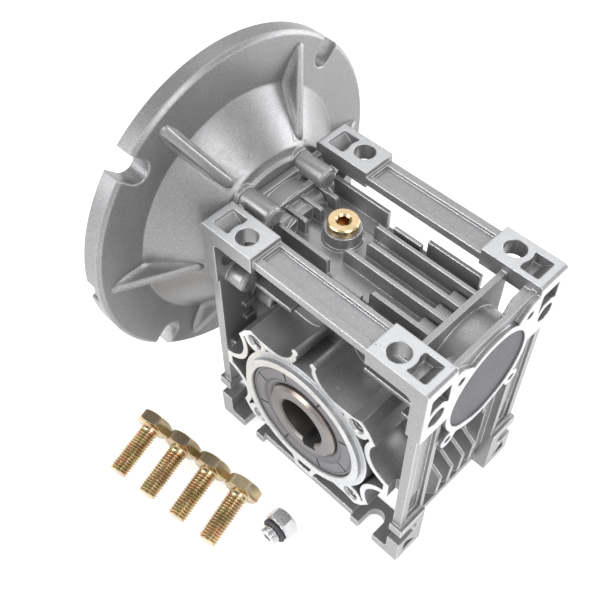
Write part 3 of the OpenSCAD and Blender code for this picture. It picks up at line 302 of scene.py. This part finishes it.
def hub_steel(name):
    """Turned hub: grey end faces, brown rounded rims and a dark bore."""
    g = Graph(name)
    rim_from, rim_full, bore_from, bore_full = 0.0181, 0.0187, 0.0136, 0.0131
    radius = radius_about(g, x=0.0, z=0.0)[0]
    fine = g.noise(620.0, 4.0, 0.6)
    broad = g.noise(55.0, 3.0, 0.5)
    lathe = g.new("ShaderNodeTexNoise", noise_dimensions="1D")
    lathe.inputs["Scale"].default_value = 2400.0
    g.put(radius, lathe.inputs["W"])
    face = g.mix(g.ramp(broad, 0.3, 0.7), (0.26, 0.256, 0.272), (0.33, 0.326, 0.342))
    rim = g.mix(g.ramp(broad, 0.35, 0.65), (0.15, 0.125, 0.11), (0.28, 0.25, 0.23))
    color = g.mix(g.ramp(radius, rim_from, rim_full), face, rim)
    color = g.mix(g.ramp(radius, bore_from, bore_full), color, (0.20, 0.18, 0.165))
    rough = g.ramp(radius, rim_from, rim_full, 0.46, 0.27)
    height = g.math("ADD", fine, g.math("MULTIPLY", lathe.outputs["Fac"], 0.5))
    return g.finish(color, 1.0, rough, g.bump(height, 0.12, 0.00006, g.soft_edges(0.0005)))


def seal_face(name):
    """Grey moulded lip seal with painted shade in its ring grooves and radial slots."""
    g = Graph(name)
    radius, pos = radius_about(g, x=0.0, z=0.0)
    fine = g.noise(1300.0, 3.0, 0.6)
    broad = g.noise(70.0, 3.0, 0.5)
    lip_r, pocket_r, slot_start, slot_end = 0.0238, 0.0239, 0.0241, 0.0299
    slots, first_slot = 4.0, math.radians(22)
    rings = []
    for place, width in ((lip_r, 0.00032), (0.0293, 0.00026), (0.0308, 0.0003)):
        away = g.math("ABSOLUTE", g.math("SUBTRACT", radius, place))
        rings.append(g.ramp(away, width, 0.4 * width))
    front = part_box("output_seal_rear")[1][1]
    below = g.math("LESS_THAN", g.math("ABSOLUTE", pos[1]), front - 0.0002)
    below = g.math("MULTIPLY", below, g.math("GREATER_THAN", radius, pocket_r))
    around = g.math("MULTIPLY", g.math("ARCTAN2", pos[2], pos[0]), slots)
    angle = g.math("ADD", around, slots * first_slot)
    aside = g.math("ABSOLUTE", g.math("SINE", angle))
    aside = g.math("MULTIPLY", aside, g.math("MULTIPLY", radius, 1.0 / slots))
    slot = g.math("MULTIPLY", g.ramp(aside, 0.0007, 0.0004), g.math("GREATER_THAN", radius, slot_start))
    slot = g.math("MAXIMUM", below, slot)
    slot = g.math("MULTIPLY", slot, g.math("LESS_THAN", radius, slot_end))
    # Painted shade: the ring grooves and the floors and sides of the radial slots are darkened.
    shaded_grooves = g.math("MAXIMUM", g.most(rings), slot)
    color = g.mix(g.ramp(broad, 0.3, 0.75), (0.14, 0.137, 0.147), (0.18, 0.176, 0.188))
    color = g.mix(g.math("MULTIPLY", shaded_grooves, 0.85), color, (0.025, 0.025, 0.028))
    height = g.math("SUBTRACT", g.math("MULTIPLY", fine, 0.3), shaded_grooves)
    return g.finish(color, 0.0, g.ramp(fine, 0.3, 0.7, 0.42, 0.55), g.bump(height, 0.35, 0.00012))


TONE = 0.32
X, Y, Z = 0, 1, 2
ANY_Z = -1.0
END_FACE_FOOT = -0.03
OUTPUT_FACE = 0.0435
CASE_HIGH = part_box("housing")[1]
MOTOR_FACE = -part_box("input_flange")[0][X]
CASE_FACES = [(Z, 1, CASE_HIGH[Z], ANY_Z, 0.56), (X, 1, CASE_HIGH[X], END_FACE_FOOT, 0.66),
              (Y, -1, OUTPUT_FACE, ANY_Z, 0.74), (Y, 1, OUTPUT_FACE, ANY_Z, 0.74)]
FLANGE_FACES = [(X, -1, MOTOR_FACE, ANY_Z, 0.45)]
GROUND = {"scale": 700.0, "bump": 0.2, "stretch": (1.0, 6.0, 1.0), "edge": 0.0003}
TURNED = {"scale": 600.0, "bump": 0.08, "edge": 0.0004}
MATS = {
    "cast": cast_alloy("cast_housing", TONE, CASE_FACES),
    "cast_flange": cast_alloy("cast_flange", 0.84 * TONE, FLANGE_FACES, edge=0.0016, edge_wear_and_highlight=0.3, glitter=1.5),
    "steel": metal("ground_steel", (0.36, 0.35, 0.34), (0.50, 0.49, 0.47), 0.3, **GROUND),
    "hub": hub_steel("hub_steel"),
    "bearing": metal("bearing_steel", (0.60, 0.61, 0.63), (0.72, 0.73, 0.75), 0.2),
    "bronze": metal("tin_bronze", (0.60, 0.36, 0.16), (0.72, 0.47, 0.22), 0.32),
    "rubber": rubber("black_rubber", (0.035, 0.035, 0.038), (0.06, 0.06, 0.065)),
    "seal": seal_face("seal_rubber"),
    "cap": rubber("cap_rubber", (0.048, 0.045, 0.053), (0.068, 0.064, 0.074), 0.45),
    "gasket": rubber("gasket_sheet", (0.12, 0.12, 0.12), (0.17, 0.17, 0.17), 0.8),
    "black_steel": metal("black_oxide", (0.05, 0.05, 0.055), (0.09, 0.09, 0.095), 0.42),
    "brass": plug_brass("plated_brass"),
    "yellow_zinc": yellow_zinc("yellow_zinc"),
    "plug_alloy": metal("turned_alloy", (0.50, 0.50, 0.51), (0.68, 0.68, 0.69), 0.26, **TURNED),
}

NODE_MATERIAL = {
    "housing": "cast", "output_cover": "cast", "input_flange": "cast_flange", "rear_end_cap": "cap",
    "output_hub": "hub", "output_seal_front": "seal", "output_seal_rear": "seal",
}


def dress_nodes():
    """Gives every CAD node its material: its own, or the one of its record's slot."""
    slots = {s["node"]: s["material_slot"] for s in frame["record"]["subparts"]}
    for name, obj in NODES.items():
        mat = MATS[NODE_MATERIAL.get(name, slots[name])]
        if not obj.data.materials:
            obj.data.materials.append(mat)
        for slot in obj.material_slots:
            slot.material = mat


dress_nodes()


# Turned and threaded pieces, drawn in mm

def link(name, data):
    obj = bpy.data.objects.new(name, data)
    bpy.context.scene.collection.objects.link(obj)
    return obj


def link_bmesh(name, bm):
    bmesh.ops.recalc_face_normals(bm, faces=bm.faces)
    data = bpy.data.meshes.new(name)
    bm.to_mesh(data)
    bm.free()
    return link(name, data)


def smooth(data, sharp):
    for poly in data.polygons:
        poly.use_smooth = True
    data.set_sharp_from_angle(angle=math.radians(sharp))


def to_piece(name, bm, mat, sharp=32.0):
    """Turns a bmesh into a piece of the fixed body, with edges over sharp degrees kept crisp."""
    obj = link_bmesh(name, bm)
    obj.data.materials.append(mat)
    smooth(obj.data, sharp)
    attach(obj, "gearbox")
    return obj


def add_rows(bm, rows, place, close_start=True, close_end=True):
    """Joins closed rows of points, each (x, y, z) in mm, into one skin, after moving them with place."""
    verts = [[bm.verts.new(place @ Vector(q) * MM) for q in row] for row in rows]
    n = len(rows[0])
    for one, two in zip(verts, verts[1:]):
        for i in range(n):
            j = (i + 1) % n
            bm.faces.new((one[i], one[j], two[j], two[i]))
    if close_start:
        bm.faces.new(list(reversed(verts[0])))
    if close_end:
        bm.faces.new(verts[-1])


def thread_rows(major, minor, pitch, x0, x1, around, per_pitch, taper=0.8):
    """Rows of a screw thread along +X, with a rounded V profile that fades in at x0 and tapers off at x1."""
    fade_in = 0.6
    rows = []
    count = int((x1 - x0) / pitch * per_pitch)
    for k in range(count + 1):
        x = x0 + (x1 - x0) * k / count
        top = major - max(0.0, taper - (x1 - x)) * 0.9
        row = []
        for i in range(around):
            a = 2 * math.pi * i / around
            phase = ((x - x0) / pitch - i / around) % 1.0
            tooth = 1.0 - abs(2.0 * phase - 1.0)
            tooth = 0.5 - 0.5 * math.cos(math.pi * min(1.0, max(0.0, 1.2 * tooth - 0.08)))
            r = min(minor + (major - minor) * tooth, top)
            if x - x0 < fade_in:
                r = minor + (r - minor) * (x - x0) / fade_in
            row.append((x, r * math.cos(a), r * math.sin(a)))
        rows.append(row)
    return rows


def turned_rows(profile, steps=48):
    """Rows of a shape turned about X from its profile of (x, radius)."""
    angles = [2 * math.pi * i / steps for i in range(steps)]
    return [[(x, r * math.cos(a), r * math.sin(a)) for a in angles] for x, r in profile]


def hex_rows(flats, x_seat, x_top, chamfer_r, seat_r, slope=0.5774, steps=72):
    """Rows of a hex head from its seat at x_seat to its top at x_top.

    Its corners are chamfered by slope outside seat_r on the seat and outside chamfer_r on the top.
    """
    centre_r = 0.55 * chamfer_r
    sign = 1.0 if x_top > x_seat else -1.0
    rows = [[], [], [], [], []]
    for i in range(steps):
        a = 2 * math.pi * i / steps
        c, s = math.cos(a), math.sin(a)
        e = flats / 2 / math.cos(a % (math.pi / 3) - math.pi / 6)
        fall_top = max(0.0, e - chamfer_r) * slope
        fall_seat = max(0.0, e - seat_r) * slope
        rows[0].append((x_seat, min(e, seat_r) * c, min(e, seat_r) * s))
        rows[1].append((x_seat + sign * fall_seat, e * c, e * s))
        rows[2].append((x_top - sign * fall_top, e * c, e * s))
        rows[3].append((x_top, min(e, chamfer_r) * c, min(e, chamfer_r) * s))
        rows[4].append((x_top, centre_r * c, centre_r * s))
    return rows


def bolts():
    """The four loose bolts, each resting on a flat of its head and on the tip of its thread."""
    d, length, flats, head = 10.0, 27.5, 17.0, 6.4
    major, minor, pitch, thread_start = 4.98, 4.06, 1.5, 2.2
    first, step, heading = (-73.5, -80.4), (flats + 2.6, 2.4), -78.5
    tilt = math.atan((flats - d) / 2 / length)
    neck = [(-0.4, 6.4), (0.0, 5.9), (0.25, 5.35), (0.7, 4.95), (2.2, 4.85), (2.8, 4.4), (3.2, 4.25)]
    bm = bmesh.new()
    for k in range(4):
        place = (Matrix.Translation(Vector((first[0] + k * step[0], first[1] + k * step[1], 0.0)))
                 @ Matrix.Rotation(math.radians(heading), 4, "Z")
                 @ Matrix.Translation(Vector((0, 0, FEET_Z + flats / 2 * math.cos(tilt))))
                 @ Matrix.Rotation(tilt, 4, "Y"))
        add_rows(bm, hex_rows(flats, 0.0, -head, chamfer_r=flats / 2 - 0.35, seat_r=flats / 2 - 0.2), place)
        add_rows(bm, turned_rows(neck, steps=40), place)
        add_rows(bm, thread_rows(major, minor, pitch, thread_start, length, around=48, per_pitch=10), place)
    obj = to_piece("loose_bolts", bm, MATS["yellow_zinc"])
    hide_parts("motor_bolts")


def breather():
    """The loose breather plug: hex head, collar and a bored threaded stub, lying on a flat."""
    length, flats, head = 6.3, 14.0, 8.0
    major, minor, pitch, thread_start = 4.86, 4.3, 0.907, 2.2
    seat = Vector((10.6, -72.9, FEET_Z + flats / 2))
    place = Matrix.Translation(seat) @ Matrix.Rotation(math.radians(-90), 4, "Z")
    collar = [(-0.9, 6.8), (-0.35, 7.0), (0.0, 6.9), (0.0, 4.25), (2.3, 4.2)]
    bore = [(length, 2.35), (length - 0.3, 2.1), (2.4, 2.1), (2.4, 0.3)]
    bm = bmesh.new()
    add_rows(bm, hex_rows(flats, -0.6, -head, flats / 2 - 0.9, flats / 2 + 0.35, slope=0.8), place)
    add_rows(bm, turned_rows(collar), place)
    thread = thread_rows(major, minor, pitch, thread_start, length, around=40, per_pitch=8, taper=0.6)
    add_rows(bm, thread + turned_rows(bore, steps=40), place)
    obj = to_piece("loose_breather", bm, MATS["plug_alloy"])
    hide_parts("breather_plug")


def tapped_holes():
    """Thread crests just inside the tapped holes of the two output faces."""
    circle_r, face_y, hole_r, thread_depth, pitch, length = 42.5, 42.6, 3.38, 0.34, 1.25, 10.0
    around, along = 32, 64
    rows = []
    for n in range(along + 1):
        x = n * length / along
        row = []
        for i in range(around):
            a = 2 * math.pi * i / around
            r = hole_r - thread_depth * (1 - abs(2 * ((x / pitch - i / around) % 1.0) - 1))
            row.append((x, r * math.cos(a), r * math.sin(a)))
        rows.append(row)
    bm = bmesh.new()
    for side in (-1, 1):
        for k in range(4):
            a = math.radians(45 + 90 * k)
            mouth = Vector((circle_r * math.cos(a), side * face_y, circle_r * math.sin(a)))
            place = Matrix.Translation(mouth) @ Matrix.Rotation(math.radians(-90 * side), 4, "Z")
            add_rows(bm, rows, place, False, False)
    to_piece("tapped_threads", bm, MATS["plug_alloy"], sharp=60.0)

# Motor flange

def cone_height(x, r):
    """Height in mm of a point of a rib's plane over the flange's disc or cone, whichever is nearer."""
    disc_x, disc_r, disc_slope = -82.5, 81.05, 0.3 / 22.05
    cone_x, cone_r, normal_x, normal_r = -80.3, 56.5, 0.726, 0.688
    over_disc = x - disc_x - disc_slope * (disc_r - r)
    over_cone = (x - cone_x) * normal_x + (r - cone_r) * normal_r
    return min(over_disc, over_cone)


def rib_places():
    """Moves a rib drawn in (x, radius, sideways) to each of its places about the worm's axis."""
    for k in range(RIBS):
        yield Matrix.Translation(Vector((0, 0, WORM_Z))) @ Matrix.Rotation(2 * math.pi * k / RIBS, 4, "X")


def rib_cutter(name, outline, slabs):
    """Prisms of an outline in (x, r) beside every rib; slabs lists their sideways ranges in mm."""
    bm = bmesh.new()
    for place in rib_places():
        for low, high in slabs:
            add_rows(bm, [[(x, r, side) for x, r in outline] for side in (low, high)], place)
    return link_bmesh(name, bm)


def flange_casting():
    """The motor flange with its ribs' flared feet trimmed off, ready for smooth drafted sides."""
    beside = [(-82.35, 71.5), (-82.18, 59.0), (-80.28, 56.52), (-63.88, 39.24), (-61.5, 39.3), (-61.5, 44.5),
              (-74.0, 60.0), (-76.0, 71.5)]
    over = [(-71.0, 53.1), (-65.0, 40.4), (-63.88, 39.24), (-61.5, 39.3), (-61.5, 44.5), (-68.0, 54.0)]
    inner, outer, half_over = 1.85, 6.0, 2.5
    cutters = [rib_cutter("beside_ribs", beside, ((inner, outer), (-outer, -inner))),
               rib_cutter("over_ribs", over, ((-half_over, half_over),))]
    obj = link("motor_flange", NODES["input_flange"].data.copy())
    for cutter in cutters:
        trim = obj.modifiers.new(cutter.name, "BOOLEAN")
        trim.operation = "DIFFERENCE"
        trim.solver = "EXACT"
        trim.object = cutter
    shape = bpy.data.meshes.new_from_object(obj.evaluated_get(bpy.context.evaluated_depsgraph_get()))
    obj.modifiers.clear()
    obj.data = shape
    for cutter in cutters:
        bpy.data.objects.remove(cutter)
    shape.attributes.remove(shape.attributes["custom_normal"])
    smooth(shape, 20)
    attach(obj, "gearbox")
    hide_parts("input_flange")


def flange_ribs():
    """Drafted, rounded sides of the six ribs between the flange's disc and cone.

    Each row runs from the root on one side over the crest to the root on the other; knots say where along the
    crest the corners of the root line fall.
    """
    crest = [(-82.55, 77.4), (-64.9, 40.1)]
    outward = (0.905, 0.4265)
    root = [(-82.9, 77.6), (-82.7, 59.0), (-80.6, 56.2), (-65.15, 39.85)]
    half_width, crown, draft = 1.9, 0.75, 0.05
    fillet_w, fillet_h, full_fillet_from = 1.7, 0.9, 4.0
    steps = [0.0, 0.012, 0.025, 0.04, 0.07]
    steps += [0.1 + 0.05 * k for k in range(17)]
    steps += [0.93, 0.955, 0.97, 0.985, 1.0]
    knots = [0.0, 0.46, 0.54, 1.0]
    levels = [0.0, 0.12, 0.25, 0.4, 0.55, 0.68, 0.78, 0.86, 0.92, 0.96, 1.0]
    rows = []
    for s in steps:
        top = [crest[0][k] + s * (crest[1][k] - crest[0][k]) for k in (0, 1)]
        n = max(k for k in range(3) if knots[k] <= s)
        part = (s - knots[n]) / (knots[n + 1] - knots[n])
        low = [root[n][k] + part * (root[n + 1][k] - root[n][k]) for k in (0, 1)]
        tall = math.dist(top, low)
        narrowed = min(0.35 + s / 0.05, 0.5 + (1.0 - s) / 0.08)
        half = half_width * min(1.0, narrowed)
        widest = fillet_w * min(1.0, tall / full_fillet_from)
        side = []
        for t in levels:
            x, r = (top[k] + t * (low[k] - top[k]) for k in (0, 1))
            fillet = widest * math.exp(-max(0.0, cone_height(x, r)) / fillet_h)
            side.append((x, r, half + draft * t * tall + fillet))
        arc = []
        for k in range(1, 8):
            a = math.pi * k / 8
            lift = crown * math.sin(a) * half / half_width
            arc.append((top[0] + outward[0] * lift, top[1] + outward[1] * lift, side[0][2] * math.cos(a)))
        rows.append([(x, r, w) for x, r, w in reversed(side)] + arc + [(x, r, -w) for x, r, w in side])
    bm = bmesh.new()
    for place in rib_places():
        add_rows(bm, rows, place)
    to_piece("flange_ribs", bm, MATS["cast_flange"], sharp=40.0)


bolts()
breather()
tapped_holes()
flange_casting()
flange_ribs()

# Studio

def pale_floor():
    """A pale floor that glows a little, so that it stays white under the part."""
    half, z = 3.0, (FEET_Z - 0.2) * MM
    data = bpy.data.meshes.new("floor")
    corners = [(-half, -half, z), (half, -half, z), (half, half, z), (-half, half, z)]
    data.from_pydata(corners, [], [(0, 1, 2, 3)])
    g = Graph("pale_floor")
    g.finish((0.6, 0.6, 0.6), 0.0, 0.9)
    g.bsdf.inputs["Emission Color"].default_value = (1, 1, 1, 1)
    g.bsdf.inputs["Emission Strength"].default_value = 0.72
    data.materials.append(g.mat)
    floor = link("floor", data)


def area(name, pos, aim, size, power):
    """A square area light of size metres and power watts at pos, turned towards aim."""
    light = bpy.data.lights.new(name, "AREA")
    light.energy = power
    light.size = size
    obj = link(name, light)
    obj.location = pos
    obj.rotation_euler = (Vector(aim) - Vector(pos)).to_track_quat("-Z", "Y").to_euler()


def studio():
    """Soft lights, and a world that is bright near the horizon and dimmer overhead."""
    area("overhead", (-0.3, 0.4, 1.05), aim=(0, 0, 0), size=0.9, power=3.0)
    area("right_key", (0.8, -0.15, 0.95), aim=(-0.05, 0, 0.03), size=0.6, power=6.0)
    area("left_fill", (-0.45, -0.95, 0.62), aim=(0, 0, 0.02), size=0.8, power=9.0)
    area("back_glow", (0.35, 1.0, 0.22), aim=(-0.04, 0, 0.05), size=0.7, power=7.0)
    world = bpy.data.worlds.new("studio")
    world.use_nodes = True
    tree = world.node_tree
    split = tree.nodes.new("ShaderNodeSeparateXYZ")
    tree.links.new(tree.nodes.new("ShaderNodeTexCoord").outputs["Generated"], split.inputs[0])
    height = tree.nodes.new("ShaderNodeMapRange")
    low_z, high_z, horizon, overhead = 0.3, 0.65, 0.95, 0.52
    for k, v in enumerate((low_z, high_z, horizon, overhead), 1):
        height.inputs[k].default_value = v
    tree.links.new(split.outputs[2], height.inputs[0])
    tree.links.new(height.outputs[0], tree.nodes["Background"].inputs[1])
    tree.nodes["Background"].inputs[0].default_value = (1, 1, 1, 1)
    bpy.context.scene.world = world
    bpy.context.scene.view_settings.view_transform = "Standard"


pale_floor()
studio()
